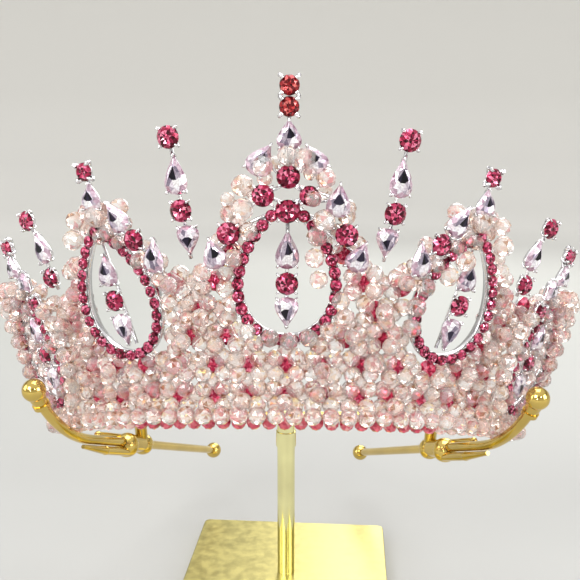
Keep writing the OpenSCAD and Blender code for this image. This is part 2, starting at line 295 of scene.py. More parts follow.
def clouded(tree, shader, scale, detail, stops, by_facet=False):
    """Multiplies the surface's colour, or each facet's tint of colour and painted light, by noise
    coloured by the stops.
    """
    place = node(tree, "ShaderNodeTexCoord")
    cloud = node(tree, "ShaderNodeTexNoise", {"Scale": scale, "Detail": detail},
                 {"Vector": place.outputs["Object"]})
    shade = node(tree, "ShaderNodeValToRGB", links={"Fac": cloud.outputs["Fac"]}, stops=stops)
    own = tuple(shader.inputs["Base Color"].default_value)
    mixed = node(tree, "ShaderNodeMix", {"Factor": 1.0, 6: own}, {7: shade.outputs["Color"]},
                 data_type="RGBA", blend_type="MULTIPLY")
    if by_facet:
        tint = node(tree, "ShaderNodeVertexColor", layer_name="tint")
        tree.links.new(tint.outputs["Color"], mixed.inputs[6])
    tree.links.new(mixed.outputs[2], shader.inputs["Base Color"])
    return cloud


print("middle grey #808080 is", round(linear("#808080")[0], 3), "in linear light")

# %% [markdown]
# ## Cut crystal beads
# The beads are clear lead glass, barely pink, cut with small flat facets. They are real glass
# here: what shows in each is the bright room, its neighbours and the deep pink stones behind,
# broken up by its own facets. A tint on each facet adds the few brown and rosy edges: painted
# shade and painted reflection, in place of the lines that refraction draws along the facets.

# %% Crystal material
def crystal(name, roughness, transmission):
    made, tree, shader = material(name, {
        "Base Color": linear("#FFF6F0") + (1,), "Roughness": roughness, "IOR": 1.5,
        "Transmission Weight": transmission, "Coat Weight": 0.4, "Coat Roughness": 0.02})
    # swirls of colour in the pressed glass, about 1.5 mm across
    clouded(tree, shader, 650.0, 2.0, [(0.3, "#FBEEE8"), (0.55, "#FFFFFF")], by_facet=True)
    return made


pale_crystal = crystal("cut_lead_glass_pale_pink", 0.02, 0.8)
deep_crystal = crystal("cut_lead_glass_deep_pink", 0.05, 0.4)
print("crystal:", pale_crystal.name, deep_crystal.name)

# %% [markdown]
# ## Foiled stones
# The large stones are lead glass with a foil behind, so they throw light back like a small
# mirror under a coloured window. A dielectric alone looks like sweets, and a metal alone looks
# like paint, so the shader is partly metallic under a clear coat, and each facet has its own tint:
# the stone's colour made lighter and darker facet by facet, as a painted reflection.

# %% Stone materials
def foiled(name, code, metallic):
    made, tree, shader = material(name, {
        "Base Color": linear(code) + (1,), "Roughness": 0.14, "Metallic": metallic,
        "Specular IOR Level": 0.3, "Coat Weight": 0.25, "Coat Roughness": 0.02})
    # foil grain, drawn at 0.4 mm so that it still shows in the render
    clouded(tree, shader, 2400.0, 1.0, [(0.35, "#D5CCD2"), (0.6, "#FFFFFF")], by_facet=True)
    return made


pink_foil = foiled("foiled_lead_glass_deep_pink", "#AE3858", 0.5)
lilac_foil = foiled("foiled_lead_glass_lilac", "#CDBBCB", 0.65)
print("foiled:", pink_foil.name, lilac_foil.name)

# %% [markdown]
# ## Metals
# The wires, cups and claws are silver plated brass, bright but softened by tumbling. The stand's
# rods are brass with a polished gold plate: mirror-like, so it shows the dark and light of the
# room as stripes. The foot plate's plate is satin: the same gold over a ground, blasted surface.

# %% Metal materials
def plated(name, code, roughness, grain_scale, depth):
    made, tree, shader = material(name, {
        "Base Color": linear(code) + (1,), "Metallic": 1.0, "Roughness": roughness})
    cloud = clouded(tree, shader, grain_scale / 12, 2.0, [(0.35, "#E8E8E8"), (0.65, "#FFFFFF")])
    place = node(tree, "ShaderNodeTexCoord")
    grain = node(tree, "ShaderNodeTexNoise", {"Scale": grain_scale, "Detail": 3.0},
                 {"Vector": place.outputs["Object"]})
    rough = node(tree, "ShaderNodeMapRange", {"To Min": roughness * 0.7, "To Max": roughness * 1.4},
                 {"Value": cloud.outputs["Fac"]})
    tree.links.new(rough.outputs["Result"], shader.inputs["Roughness"])
    bump = node(tree, "ShaderNodeBump", {"Strength": 0.25, "Distance": depth},
                {"Height": grain.outputs["Fac"]})
    tree.links.new(bump.outputs["Normal"], shader.inputs["Normal"])
    return made


silver = plated("silver_plated_brass", "#F0EFF1", 0.16, 1500.0, 0.00004)
polished_gold = plated("polished_gold_plate", "#E0C26C", 0.10, 900.0, 0.00002)
# the post's copy of the gold is painted paler: a painted reflection of the bright room round it
gold_painted_paler = plated("polished_gold_plate_painted_paler", "#F6F0B4", 0.12, 900.0, 0.00002)
satin_gold = plated("satin_gold_plate", "#CBC07C", 0.34, 4000.0, 0.00003)
print("materials:", len(bpy.data.materials))

# %% [markdown]
# ## The bead
# A cut bead is close to a ball with six rings of points, each ring turned half a step against
# the last, which leaves five bands of triangles and a small flat round each end of the hole.

# %% Bead shape
# Height and radius of each ring of points, for a bead of radius 1
BEAD_RINGS = [(0.94, 0.26), (0.74, 0.68), (0.27, 0.99), (-0.27, 0.99), (-0.74, 0.68),
              (-0.94, 0.26)]
BEAD_SIDES = 9


def bead_shape():
    points, faces = [], []
    for j, (z, r) in enumerate(BEAD_RINGS):
        for i in range(BEAD_SIDES):
            a = 2 * math.pi * (i + 0.5 * (j % 2)) / BEAD_SIDES
            points.append((r * math.cos(a), r * math.sin(a), z))
    for j in range(len(BEAD_RINGS) - 1):
        a, b = j * BEAD_SIDES, (j + 1) * BEAD_SIDES
        for i in range(BEAD_SIDES):
            k = (i + 1) % BEAD_SIDES
            if j % 2 == 0:
                faces += [[a + i, b + i, a + k], [a + k, b + i, b + k]]
            else:
                faces += [[a + i, b + i, b + k], [a + i, b + k, a + k]]
    last = (len(BEAD_RINGS) - 1) * BEAD_SIDES
    faces += [list(range(BEAD_SIDES)), [last + i for i in range(BEAD_SIDES)][::-1]]
    return points, faces


BEAD = bead_shape()
# One seeded source of chance, so that every run gives the same crown
chance = random.Random(11)
# Facet tints and their shares: the walls' beads, the deep pink edge beads, the hazy layer at
# the back, and the edge beads round the sides. The walls' brown and rosy tints are painted shade
# and painted reflection along the facets.
PALE = (["#FFFFFF", "#FFF8F2", "#FFEEE6", "#FFE0D6", "#FCDDC2", "#F5AFB2", "#B98668"],
        [32, 24, 16, 10, 7, 7, 4])
DEEP = ["#E86C7C", "#D04660", "#DE5A6E", "#F6AEB2", "#B4304C"], [24, 30, 24, 8, 14]
HAZY = ["#FFF3EC", "#FDDFD6", "#FFFFFF", "#F0B6B6"], [34, 22, 34, 10]
ROSY = ["#FFE2DA", "#F6C4BE", "#FFF6F2", "#E89A9A"], [36, 26, 26, 12]


def add_bead(heap, place, d, palette=PALE):
    tumble = (turn("X", chance.uniform(0, 360)) @ turn("Y", chance.uniform(0, 360))
              @ turn("Z", chance.uniform(0, 360)))
    tints = [linear(c) for c in chance.choices(*palette, k=len(BEAD[1]))]
    heap.add(BEAD[0], BEAD[1], place @ tumble @ Matrix.Scale(d / 2, 4), tints)


print("bead:", len(BEAD[0]), "points,", len(BEAD[1]), "facets")

# %% [markdown]
# ## Cutting the stones
# A chaton and a pear are cut alike: a flat table, a ring of small star facets, kites, and then
# pairs of facets down to the girdle. Under it the pavilion runs back to a point. The table of a
# foiled stone shows the pavilion through it as a star, so the table here is a shallow star too.

# %% Stone shapes
# Widths of the kites' ring, the table and its star as shares of the girdle's
KITE_RING, TABLE_RING, STAR_RING = 0.80, 0.58, 0.26
# The girdle's share of the depth, the kites' of the crown above it, and the star's two dips
GIRDLE_UP, KITE_UP, STAR_DIP, PEAK_DIP = 0.55, 0.62, 0.07, 0.02


def cut(outline, count, centre, depth, star=None):
    """outline(scale, count, start) gives the girdle's shape; depth is the whole stone's."""
    girdle, crown = -depth * GIRDLE_UP, -depth
    star = star or outline(STAR_RING, count, 0.5)
    points = [(x, girdle, z) for x, z in outline(1.0, 2 * count, 0)]
    points += [(x, girdle + (crown - girdle) * KITE_UP, z)
               for x, z in outline(KITE_RING, count, 0.5)]
    points += [(x, crown, z) for x, z in outline(TABLE_RING, count, 0)]
    points += [(x, crown + depth * STAR_DIP, z) for x, z in star]
    points += [(centre[0], crown + depth * PEAK_DIP, centre[1]), (centre[0], 0, centre[1])]
    g, m, t, n = 0, 2 * count, 3 * count, 4 * count
    peak, back = 5 * count, 5 * count + 1
    faces = []
    for i in range(count):
        k = (i + 1) % count
        faces += [[t + i, m + i, t + k], [t + i, m + (i - 1) % count, g + 2 * i, m + i],
                  [m + i, g + 2 * i, g + 2 * i + 1], [m + i, g + 2 * i + 1, g + 2 * k],
                  [t + i, t + k, n + i], [t + k, n + k, n + i], [n + i, n + k, peak],
                  [g + 2 * i, back, g + 2 * i + 1], [g + 2 * i + 1, back, g + 2 * k]]
    return points, faces


def circle(r, n, start=0.0):
    turns = [2 * math.pi * (i + start) / n for i in range(n)]
    return [(r * math.sin(t), -r * math.cos(t)) for t in turns]


def round_cut(d, depth, count=11):
    return cut(lambda scale, n, start: circle(d / 2 * scale, n, start), count, (0, 0), depth)


def pear_cut(long, half, depth, count=10):
    mid = long * 0.40

    def outline(scale, n, start):
        return [(x * scale, mid + (z - mid) * scale)
                for x, z in tear(half, 0, long, PEAR_ROUND, n, start)]
    # the star under the table stands with its peak high, so its lower sides make a triangle
    star = tear(half * 0.52, long * 0.36, long * 0.74, WINDOW_ROUND, count, 0.5)
    return cut(outline, count, (0, long * 0.70), depth, star)


# The zone of each of a cut's nine facets, in the order in which cut() makes them
ZONES = ("table", "kite", "rim", "rim", "table", "table", "middle", "back", "back")
# Facet tints of each kind of stone: its own colour, laid in lighter and darker facet by facet as
# painted reflections and painted highlights
DEEP_STONE = {"table": ["#B8325A", "#5E0A24", "#EE8CA8", "#3A0312", "#921E42"],
              "kite": ["#A02446", "#DC6C8C", "#5A0820", "#B03A5C"],
              "rim": ["#A42C4C", "#5E0A24", "#34030E", "#D4708E"],
              "middle": ["#2C020C", "#7C1434", "#D0587A"], "back": ["#7A1230"]}
NET_STONE = {"table": ["#E8486C", "#B01E44", "#F58CA4", "#98143A"],
             "kite": ["#DC3C60", "#F58AA4", "#B42248"], "rim": ["#E04468", "#B82448", "#F07C98"],
             "middle": ["#98143A", "#D43C60"], "back": ["#B02448"]}
RED_STONE = {"table": ["#C83C3E", "#7A1218", "#E67670", "#560A10"],
             "kite": ["#A82A2E", "#DC6A66", "#741218"], "rim": ["#B43436", "#701218", "#480810"],
             "middle": ["#3C050A", "#8E1C20"], "back": ["#801820"]}
LILAC_STONE = {"table": ["#C0B6C2", "#ECE4EE", "#8C8294"],
               "kite": ["#E6CCDA", "#CDB0C0", "#F8EEF4"],
               "rim": ["#DEC2D0", "#F8EEF4", "#B58EA2", "#EAD6E2"],
               "middle": ["#8A8294", "#B4AAB8"], "back": ["#AE94A8"]}
# Painted reflections on the pears: black facets for the dark of the room, white ones for the lamps
DARK_GLINT = ["#17141F", "#2A2438", "#100D16"]
WHITE_GLINT = ["#FFFFFF", "#F6F4FA"]


def colour_and_painted_reflections(palette, count, glint=None):
    """One tint a facet: the stone's colour with painted reflections. glint gives the star's sides
    that are painted black and the table's ones painted white.
    """
    colours = []
    for i in range(count):
        for zone in ZONES:
            choices = palette[zone]
            if glint and zone == "middle" and i in glint[0]:
                choices = DARK_GLINT
            elif glint and zone == "table" and i in glint[1]:
                choices = WHITE_GLINT
            colours.append(linear(chance.choice(choices)))
    return colours


print("round cut:", len(round_cut(ROUND_D, STONE_T)[1]), "facets")

# %% [markdown]
# ## Cups and claws
# Each stone sits in a stamped silver cup that hugs its girdle, and claws are bent over its rim.
# A cup is a short profile swept round the stone's outline; a claw is a small bent drop of metal.

# %% Setting shapes
# A cup from its rim to its back, and a claw from its foot to its tip: how far past the stone's
# rim, and how far out of the wall
CUP_PROFILE = [(-0.2, 1.3), (-0.12, 1.25), (-0.35, 0.5), (-0.7, 0.0), (-1.4, 0.0)]
CLAW = [(-0.7, 0.1), (0.15, 0.6), (0.62, 1.4), (0.5, 2.05), (-0.2, 2.35)]
CLAW_R, SMALL_CLAW_R = 0.29, 0.48


def swept(outline, profile, count):
    """outline(extra, count) gives the path grown by extra; profile is extra and outward depth."""
    points = [(x, -d, z) for extra, d in profile for x, z in outline(extra, count)]
    faces = [[j * count + i, (j + 1) * count + i, (j + 1) * count + (i + 1) % count,
              j * count + (i + 1) % count]
             for j in range(len(profile) - 1) for i in range(count)]
    return points, faces


def round_outline(d):
    return lambda extra, n: circle(d / 2 + extra, n)


def pear_outline(long, half):
    return lambda extra, n: tear(half + extra, -extra, long + 1.6 * extra, PEAR_ROUND, n)


def cup(outline, count):
    points, faces = swept(outline, CUP_PROFILE, count)
    last = (len(CUP_PROFILE) - 1) * count
    faces.append([last + i for i in range(count)][::-1])
    return points, faces


def ball(sides=6, rings=3):
    points = [(0, 0, 1)]
    for j in range(1, rings + 1):
        a = math.pi * j / (rings + 1)
        points += [(math.sin(a) * math.cos(2 * math.pi * i / sides),
                    math.sin(a) * math.sin(2 * math.pi * i / sides), math.cos(a))
                   for i in range(sides)]
    points.append((0, 0, -1))
    last = len(points) - 1
    faces = [[0, 1 + i, 1 + (i + 1) % sides] for i in range(sides)]
    for j in range(rings - 1):
        a, b = 1 + j * sides, 1 + (j + 1) * sides
        faces += [[a + i, b + i, b + (i + 1) % sides, a + (i + 1) % sides] for i in range(sides)]
    faces += [[last, 1 + (rings - 1) * sides + (i + 1) % sides, 1 + (rings - 1) * sides + i]
              for i in range(sides)]
    return points, faces


BALL = ball()


def add_wire(heap, place, path, radius, sides=6):
    """A round wire through the points of path, in the card's millimetres."""
    rings = []
    path = [Vector(p) for p in path]
    for i, p in enumerate(path):
        along = (path[min(i + 1, len(path) - 1)] - path[max(i - 1, 0)]).normalized()
        side = along.cross(Vector((0.13, 1, 0.07))).normalized()
        up = along.cross(side)
        rings.append([p + radius * (math.cos(a) * side + math.sin(a) * up)
                      for a in (2 * math.pi * k / sides for k in range(sides))])
    points = [q for ring in rings for q in ring]
    faces = [[j * sides + i, j * sides + (i + 1) % sides, (j + 1) * sides + (i + 1) % sides,
              (j + 1) * sides + i] for j in range(len(path) - 1) for i in range(sides)]
    faces += [list(range(sides))[::-1], [(len(path) - 1) * sides + i for i in range(sides)]]
    heap.add(points, faces, place)


def add_claw(heap, place, x, z, away, radius=CLAW_R):
    """A prong up the side of a stone at x, z on its rim, bent inwards; away in degrees."""
    spot = put(place, x, 0, z) @ turn("Y", away)
    spread = 1 + 2 * (radius - CLAW_R)
    add_wire(heap, spot, [(0, -d, e * spread) for e, d in CLAW], radius, 5)


print("cup:", len(CUP_PROFILE), "rings; claw:", len(CLAW), "points; grain:", len(BALL[1]), "faces")

# %% [markdown]
# ## Setting a stone
# A stone is given as the CAD gives it: its kind and its places along the edge and up the wall.
# The same small function sets every stone on the crown, whether it stands on a panel, hangs in a
# window or sits on a spike.

# %% Set one stone
CUP_SIDES = 20


def stone_place(s0, side, spec, out):
    """Card matrix at the stone: its own x right, z up and -y out."""
    base = on_panel(s0, spec[1], spec[2])
    place = put(panel(s0, side), base.x, out, base.y)
    if spec[0] == "round":
        return place, 0
    tip = on_panel(s0, spec[3], spec[4])
    lean = math.degrees(math.atan2(tip.x - base.x, tip.y - base.y))
    return place @ turn("Y", lean), (tip - base).length


def set_stone(stones, metal, s0, side, spec, out, palette, claws=(45, 135, 225, 315)):
    """Cuts the stone into the heap stones, its cup and claws into the heap metal."""
    place, long = stone_place(s0, side, spec, out)
    if spec[0] == "round":
        r = spec[3] / 2
        points, faces = round_cut(spec[3], STONE_T)
        outline, glint = round_outline(spec[3]), None
        corners = [(r * math.sin(math.radians(a)), r * math.cos(math.radians(a)), a) for a in claws]
    else:
        half = PEAR_W / 2
        points, faces = pear_cut(long, half, STONE_T)
        outline = pear_outline(long, half)
        # painted reflections: which of the star's sides are painted black and which table facets
        # white
        dark = chance.choice([(8, 9, 0), (9, 0), (9, 0, 1)])
        glint = (dark, chance.choice([(9, 0), (8, 9), (0, 1)]))
        corners = [(half * 0.72, long * 0.09, 140), (-half * 0.72, long * 0.09, 220),
                   (0.0, long - 0.7, 0)]
    stones.add(points, faces, place, colour_and_painted_reflections(palette, len(faces) // len(ZONES), glint))
    metal.add(*cup(outline, CUP_SIDES), place)
    radius = SMALL_CLAW_R if spec[0] == "round" and spec[3] == SMALL_D else CLAW_R
    for x, z, away in corners:
        add_claw(metal, place, x, z, away, radius)
    return place, long


# %% [markdown]
# ## The beaded walls
# The walls are a net of fine silver wire. Deep pink chatons are set in it in rows about 9 mm
# apart, and clear beads are threaded over the net in between, so that each chaton shows as a
# small star in the gap between four beads. Some beads lie proud of the rest, over a chaton, and
# show it broken into streaks. A looser layer closes the net from behind.

# %% Places in the net
BEAD_D = 4.7
# How far a chaton strays from its row, and how far out of the wall each layer stands
STRAY_S, STRAY_H = 0.3, 0.25
FRONT_OUT, PROUD_OUT, BACK_OUT, NET_OUT = -1.4, 0.9, -2.7, -4.2
NET_PITCH = 9.0
# Rows of chatons: height up the wall, and the first one's distance from the front
NET_ROWS = ((8.7, 0.0), (16.8, 0.0), (24.2, 4.7), (31.0, 1.3), (38.3, 7.0), (45.5, 2.5))
TOP_ROWS = (51.0, 54.6, 58.2)
LOW_ROW, LOW_OUT = 4.3, 1.1
# The share of chatons with a bead proud over them, below and above this height
PROUD_LOW, PROUD_HIGH, PROUD_FROM = 0.4, 0.75, 20
# Round the sides the lowest pale beads hang lower, over paler edge beads
ROSY_FROM, LOW_DROP = 43.0, 0.7
# Each chaton has four beads round it, this far to its sides and above or below it, then pushed
# until they are this far from each other and from the chaton
STAR_S, STAR_H = 2.3, 2.35
BEAD_APART, STAR_REACH, PUSHES = 4.0, 3.35, 10
# Clear room between a bead or a chaton and a window's frame
BEAD_CLEAR, STONE_CLEAR = 0.6, 2.2
# The crest: half its width, and the height where it starts
CREST = (11.0, 49.5)


def stretch(s, h):
    radius = FRONT_R if abs(s) <= FRONT_LEN else SIDE_R
    return (radius + h * math.sin(math.radians(FLARE))) / radius


def fits(s, h, grow, top=1.6):
    if h > wall_top(s) - top or abs(s) > END_S - 1.5:
        return False
    wins = [CENTRE] if abs(s) < CENTRE_SEAM + 1 else [MID, SIDE]
    return all(clear_of_window(w, abs(s), h, grow) for w in wins)


def in_crest(s, h):
    """The crest's beads have places of their own, round the eye under the wires' fork."""
    return abs(s) < CREST[0] and h > CREST[1]


def row_of(h, first, pitch):
    spots = []
    for way in (-1, 1):
        s = first
        while s < END_S:
            if s or way > 0:
                spots.append((way * s, h))
            s += pitch
    return spots


def relaxed(spots, stones, apart, clear, rounds):
    """Pushes spots apart and away from the stones, in real millimetres along the wall."""
    spots, stones = np.array(spots), np.array(stones)
    scale = np.array([[stretch(s, h), 1.0] for s, h in spots])
    for _ in range(rounds):
        move = np.zeros_like(spots)
        for others, least, share in ((spots, apart, 0.5), (stones, clear, 1.0)):
            away = (spots[:, None] - others[None]) * scale[:, None]
            far = np.linalg.norm(away, axis=2)
            far[far < 1e-6] = 99.0
            push = np.clip(least - far, 0, None) * share
            move += (away / far[..., None] * push[..., None]).sum(axis=1) * 0.5
        spots += move / scale
    return spots


net_stones, spots, fill = [], [], []
for h, first in NET_ROWS:
    for s, z in row_of(h, first, NET_PITCH):
        s, z = s + chance.gauss(0, STRAY_S), z + chance.gauss(0, STRAY_H)
        if fits(s, z, RING_W + STONE_CLEAR, 3.0) and not in_crest(s, z):
            net_stones.append((s, z))
        spots += [(s + x, z + y) for x in (-STAR_S, STAR_S) for y in (-STAR_H, STAR_H)]
        fill += [(s + 2 * STAR_S, z), (s, z + 3.8)]
spots += [p for h in TOP_ROWS for p in row_of(h, STAR_S, NET_PITCH / 2)]
spots = [p for p in spots if fits(*p, RING_W + BEAD_CLEAR) and not in_crest(*p)]
beads = [tuple(p) for p in relaxed(spots, net_stones, BEAD_APART, STAR_REACH, PUSHES)]
print("net:", len(net_stones), "chatons,", len(beads), "beads over them")

# %% String the beads
# Beads with places of their own: along the edge, up the wall, how far out, diameter
CREST_BEADS = [
    (-4.4, 66.2, 3.2, 5.0), (-0.2, 68.6, 3.0, 4.9), (-4.2, 63.3, 1.0, 4.0), (-8.3, 61.6, 0.5, 5.4),
    (-8.5, 56.0, 0.5, 5.5), (2.9, 68.2, 2.6, 4.9), (3.8, 64.7, 2.4, 3.5), (6.7, 63.6, 1.0, 4.9),
    (4.5, 58.8, 2.8, 4.0), (6.7, 53.6, 1.6, 5.6), (-7.4, 50.8, 1.5, 4.6), (-9.2, 52.8, 0.3, 3.6),
    (-6.5, 59.3, -2.0, 3.6), (6.9, 60.4, -2.0, 3.8), (-2.8, 66.6, -1.6, 3.8),
    (2.4, 66.4, -1.6, 3.8), (11.4, 56.6, -1.0, 4.2), (-11.4, 58.2, -1.2, 3.8),
    (-11.2, 54.6, -1.0, 4.2), (9.6, 51.0, 0.0, 4.0)]
WINDOW_BEADS = [
    (5.5, 49.8, 1.9, 5.0), (5.3, 44.6, 1.8, 4.9), (6.3, 39.4, 1.8, 4.6), (11.0, 34.3, 1.8, 4.7),
    (12.4, 30.4, 1.6, 4.5), (-10.5, 44.3, 1.6, 4.8), (-3.4, 24.6, 1.8, 4.6), (0.6, 23.9, 1.8, 4.6),
    (4.9, 24.8, 1.8, 4.6), (-8.2, 26.4, 1.4, 4.2), (8.8, 27.0, 1.5, 4.3)]
# Those over both middle panels, then those over the right window's near side only
MID_BEADS = [
    (44.1, 57.0, 0.6, 4.9), (38.2, 57.0, 2.2, 5.2), (38.6, 51.9, 0.8, 4.2), (45.9, 52.2, 0.6, 5.4),
    (46.9, 45.4, 0.6, 5.4), (36.6, 52.8, 1.0, 4.4), (34.4, 50.0, 0.9, 4.0), (30.5, 44.9, 1.4, 4.3),
    (49.8, 38.2, 0.2, 4.8), (26.7, 39.9, 0.8, 4.2), (41.8, 58.6, -1.0, 4.4),
    (41.5, 53.9, -1.4, 4.4), (35.2, 56.6, -1.2, 4.2), (29.2, 47.6, -1.0, 4.2),
    (39.8, 55.8, -1.5, 4.4), (36.9, 58.2, -1.6, 4.2)]
NEAR_BEADS = [(37.0, 46.9, 1.2, 5.5), (33.9, 42.6, 1.2, 5.2), (28.8, 39.2, 1.8, 5.0),
              (27.6, 34.0, 1.8, 5.0), (27.4, 28.6, 1.6, 5.0)]
# And those over both side panels
SIDE_BEADS = [
    (69.6, 44.0, 2.0, 4.8), (73.0, 44.6, 2.2, 5.0), (76.5, 43.6, 2.2, 5.0), (73.6, 40.4, 2.4, 5.0),
    (77.4, 39.4, 2.2, 5.0), (80.2, 35.4, 2.2, 5.0), (81.0, 30.6, 2.0, 4.8), (81.2, 25.8, 2.0, 4.8),
    (59.6, 35.4, 2.4, 4.8), (66.0, 41.8, 1.6, 4.4), (58.2, 31.4, 2.0, 4.8), (57.4, 27.1, 2.0, 4.9),
    (57.1, 22.7, 2.0, 4.9), (57.2, 18.3, 2.0, 4.9), (57.8, 13.9, 2.0, 4.9), (59.4, 9.9, 2.0, 4.7)]
walls = {name: Heap() for name in
         ("centre", "mid_left", "mid_right", "side_left", "side_right")}


def wall_name(s):
    a = abs(s)
    if a < CENTRE_SEAM:
        return "centre"
    return ("mid" if a < FRONT_LEN else "side") + ("_left" if s < 0 else "_right")


def string_bead(s, h, out, d, palette=PALE):
    add_bead(walls[wall_name(s)], put(card_at(s), 0, out, h), d, palette)


for s, h in beads:
    if fits(s, h, RING_W + 0.4, 1.2) and not in_crest(s, h):
        out = FRONT_OUT + chance.gauss(0, 0.4)
        string_bead(s, h, out, BEAD_D * chance.uniform(0.96, 1.05))
for s, h in row_of(LOW_ROW, NET_PITCH / 4, NET_PITCH / 2):
    if fits(s, h, RING_W, 1.2):
        drop = LOW_DROP if abs(s) > ROSY_FROM else 0
        h = h - drop + chance.gauss(0, 0.12)
        string_bead(s, h, LOW_OUT, BEAD_D * chance.uniform(0.98, 1.06))
for s, h in net_stones:
    if chance.random() < (PROUD_LOW if h < PROUD_FROM else PROUD_HIGH):
        ds, dh = chance.uniform(-1.8, 1.8), chance.uniform(-1.6, 1.8)
        if fits(s + ds, h + dh, RING_W + 1.0):
            out = PROUD_OUT + chance.uniform(0, 0.7)
            string_bead(s + ds, h + dh, out, BEAD_D * chance.uniform(0.9, 1))
for s, h, out, d in SIDE_BEADS:
    string_bead(s, h, out, d)
    string_bead(-s, h, out, d)
mirrored = [(-s, h, out, d) for s, h, out, d in MID_BEADS]
for s, h, out, d in CREST_BEADS + WINDOW_BEADS + MID_BEADS + mirrored + NEAR_BEADS:
    string_bead(s, h, out, d)
for s, z in fill:
    if fits(s, z, RING_W + 0.8, 1.8) and not in_crest(s, z) and chance.random() < 0.9:
        string_bead(s, z, BACK_OUT, BEAD_D, HAZY)
for name, heap in walls.items():
    heap.build("beads_" + name, pale_crystal, "pale_pink_crystal",
               instead_of=["bead_wall_" + name])
    print("beads of the wall", name, len(heap.faces) // len(BEAD[1]))

# %% The net's chatons and wire
WIRE_BACK, WIRE_R, WIRE_STEPS = 3.2, 0.25, 4
net_pinks, net_silver = Heap(), Heap()
for s, h in net_stones:
    set_stone(net_pinks, net_silver, abs(s), 1 if s >= 0 else -1, ("round", abs(s), h, ROUND_D),
              NET_OUT, NET_STONE, claws=())
for h, first in NET_ROWS:
    row = sorted(p for p in net_stones if abs(p[1] - h) < 2)
    for (s, z), (s2, z2) in zip(row, row[1:]):
        if s2 - s < NET_PITCH * 1.6:
            path = [card_at(a) @ Vector((0, WIRE_BACK, b))
                    for a, b in np.linspace((s, z), (s2, z2), WIRE_STEPS + 1)]
            add_wire(net_silver, Matrix.Identity(4), path, WIRE_R, 5)
net_pinks.build("net_chatons", pink_foil, "deep_pink_stone")
net_silver.build("net_wire", silver, "silver", smooth=True)
print("net:", len(net_pinks.faces), "facets of chatons,", len(net_silver.faces), "of silver")

# %% [markdown]
# ## Beads along the bottom edge
# One thread of beads runs along the bottom, deep pink at the front and paler round the sides. The
# pale beads above hang over them, so from the front each shows as a dark pink crescent.

# %% Edge beads
EDGE_D, EDGE_PITCH, EDGE_DROP = 3.9, 4.05, 0.65
heap = Heap()
count = int((END_S - EDGE_D / 2) / EDGE_PITCH)
for i in range(-count, count + 1):
    s = i * EDGE_PITCH
    place = put(card_at(s), 0, -WALL_T / 2, EDGE_D / 2 - EDGE_DROP)
    add_bead(heap, place, EDGE_D, DEEP if abs(s) < ROSY_FROM else ROSY)
heap.build("beads_edge", deep_crystal, "deep_pink_crystal", instead_of=["edge_beads"])
print("edge beads:", 2 * count + 1)

# %% [markdown]
# ## Window frames
# A paved frame is a silver channel bent to the tear, filled with small deep pink chatons held by
# grains of silver. The channel is a swept profile; the chatons are spaced by real length.

# %% Frames
# The channel's section: how far past the window's edge, and how far out
CHANNEL = [(0.3, -0.8), (0.25, 0.25), (0.38, 0.4), (0.6, 0.0), (RING_W - 0.6, 0.0),
           (RING_W - 0.35, 0.5), (RING_W - 0.25, 0.35), (RING_W - 0.25, -0.8), (1.9, -0.95),
           (1.75, -3.0), (1.4, -3.0), (1.25, -0.95), (0.3, -0.8)]
PAVE_D, PAVE_T, PAVE_SIDES, PAVE_PITCH, PAVE_OUT = 3.05, 1.5, 7, 3.12, 0.25
# Grains sit between the chatons, near both rims of the channel
GRAIN_R, GRAIN_OUT, GRAIN_ACROSS = 0.24, 1.0, RING_W * 0.40
# How far out the set stones stand, and the wire that carries them
STONE_OUT, STEM_OUT, STEM_R = 0.4, 0.5, 0.42
# Each stone's kind and places: a round's place and diameter, or a pear's round end and tip
CENTRE_STONES = {
    "crest_stone_top": ("round", 0, 84.5, SMALL_D),
    "crest_stone_under": ("round", 0, 79.7, SMALL_D),
    "crest_pear": ("pear", 0.1, 69.8, 0, 77.2),
    "crest_pear_left": ("pear", -6.6, 64.4, -2.9, 71.4),
    "crest_pear_right": ("pear", 5.8, 64.9, 2.9, 71.4),
    "crest_stone_upper": ("round", 0, 63.7, ROUND_D),
    "crest_stone_left": ("round", -4.6, 59.3, 5.4), "crest_stone_right": ("round", 3.9, 59.4, 4.8),
    "crest_pear_outer": ("pear", 9.2, 54.6, 9.4, 62.9),
    "crest_stone_lower": ("round", 0, 55.6, ROUND_D),
    "shoulder_stone_left": ("round", -11.3, 50.5, ROUND_D),
    "shoulder_stone_right": ("round", 11.3, 50.5, ROUND_D),
    "shoulder_pear_left": ("pear", -13.6, 42.2, -15.2, 49.8),
    "shoulder_pear_right": ("pear", 13, 42, 15.3, 49.4)}
RED_ONES = ("crest_stone_top", "crest_stone_under")
MID_STONES = {
    "mid_stone_top": ("round", 38.6, 68.4, SMALL_D), "mid_pear": ("pear", 38.7, 58.6, 38, 65.8),
    "mid_pear_tilted": ("pear", 32, 52.7, 35, 60.5),
    "mid_stone_lower": ("round", 30.3, 50.2, ROUND_D),
    "mid_pear_inner": ("pear", 26.8, 41.8, 25.6, 50.6)}
SIDE_STONES = {
    "side_stone_top": ("round", 65.3, 54.9, SMALL_D), "side_pear": ("pear", 66.4, 46.2, 65.5, 52.5),
    "side_pear_lower": ("pear", 64, 46.2, 61.3, 41.3),
    "side_stone_lower": ("round", 61, 38, SMALL_D)}


def even(path, pitch):
    """Points at an even real spacing round a closed path, with their headings."""
    path = [Vector(p) for p in path]
    lengths = [(path[(i + 1) % len(path)] - p).length for i, p in enumerate(path)]
    total = sum(lengths)
    count = int(total / pitch)
    spots, i, done = [], 0, 0.0
    for k in range(count):
        goal = total * (k + 0.5) / count
        while done + lengths[i] < goal:
            done += lengths[i]
            i += 1
        a, b = path[i], path[(i + 1) % len(path)]
        spots.append((a + (b - a) * ((goal - done) / lengths[i]), (b - a).normalized()))
    return spots


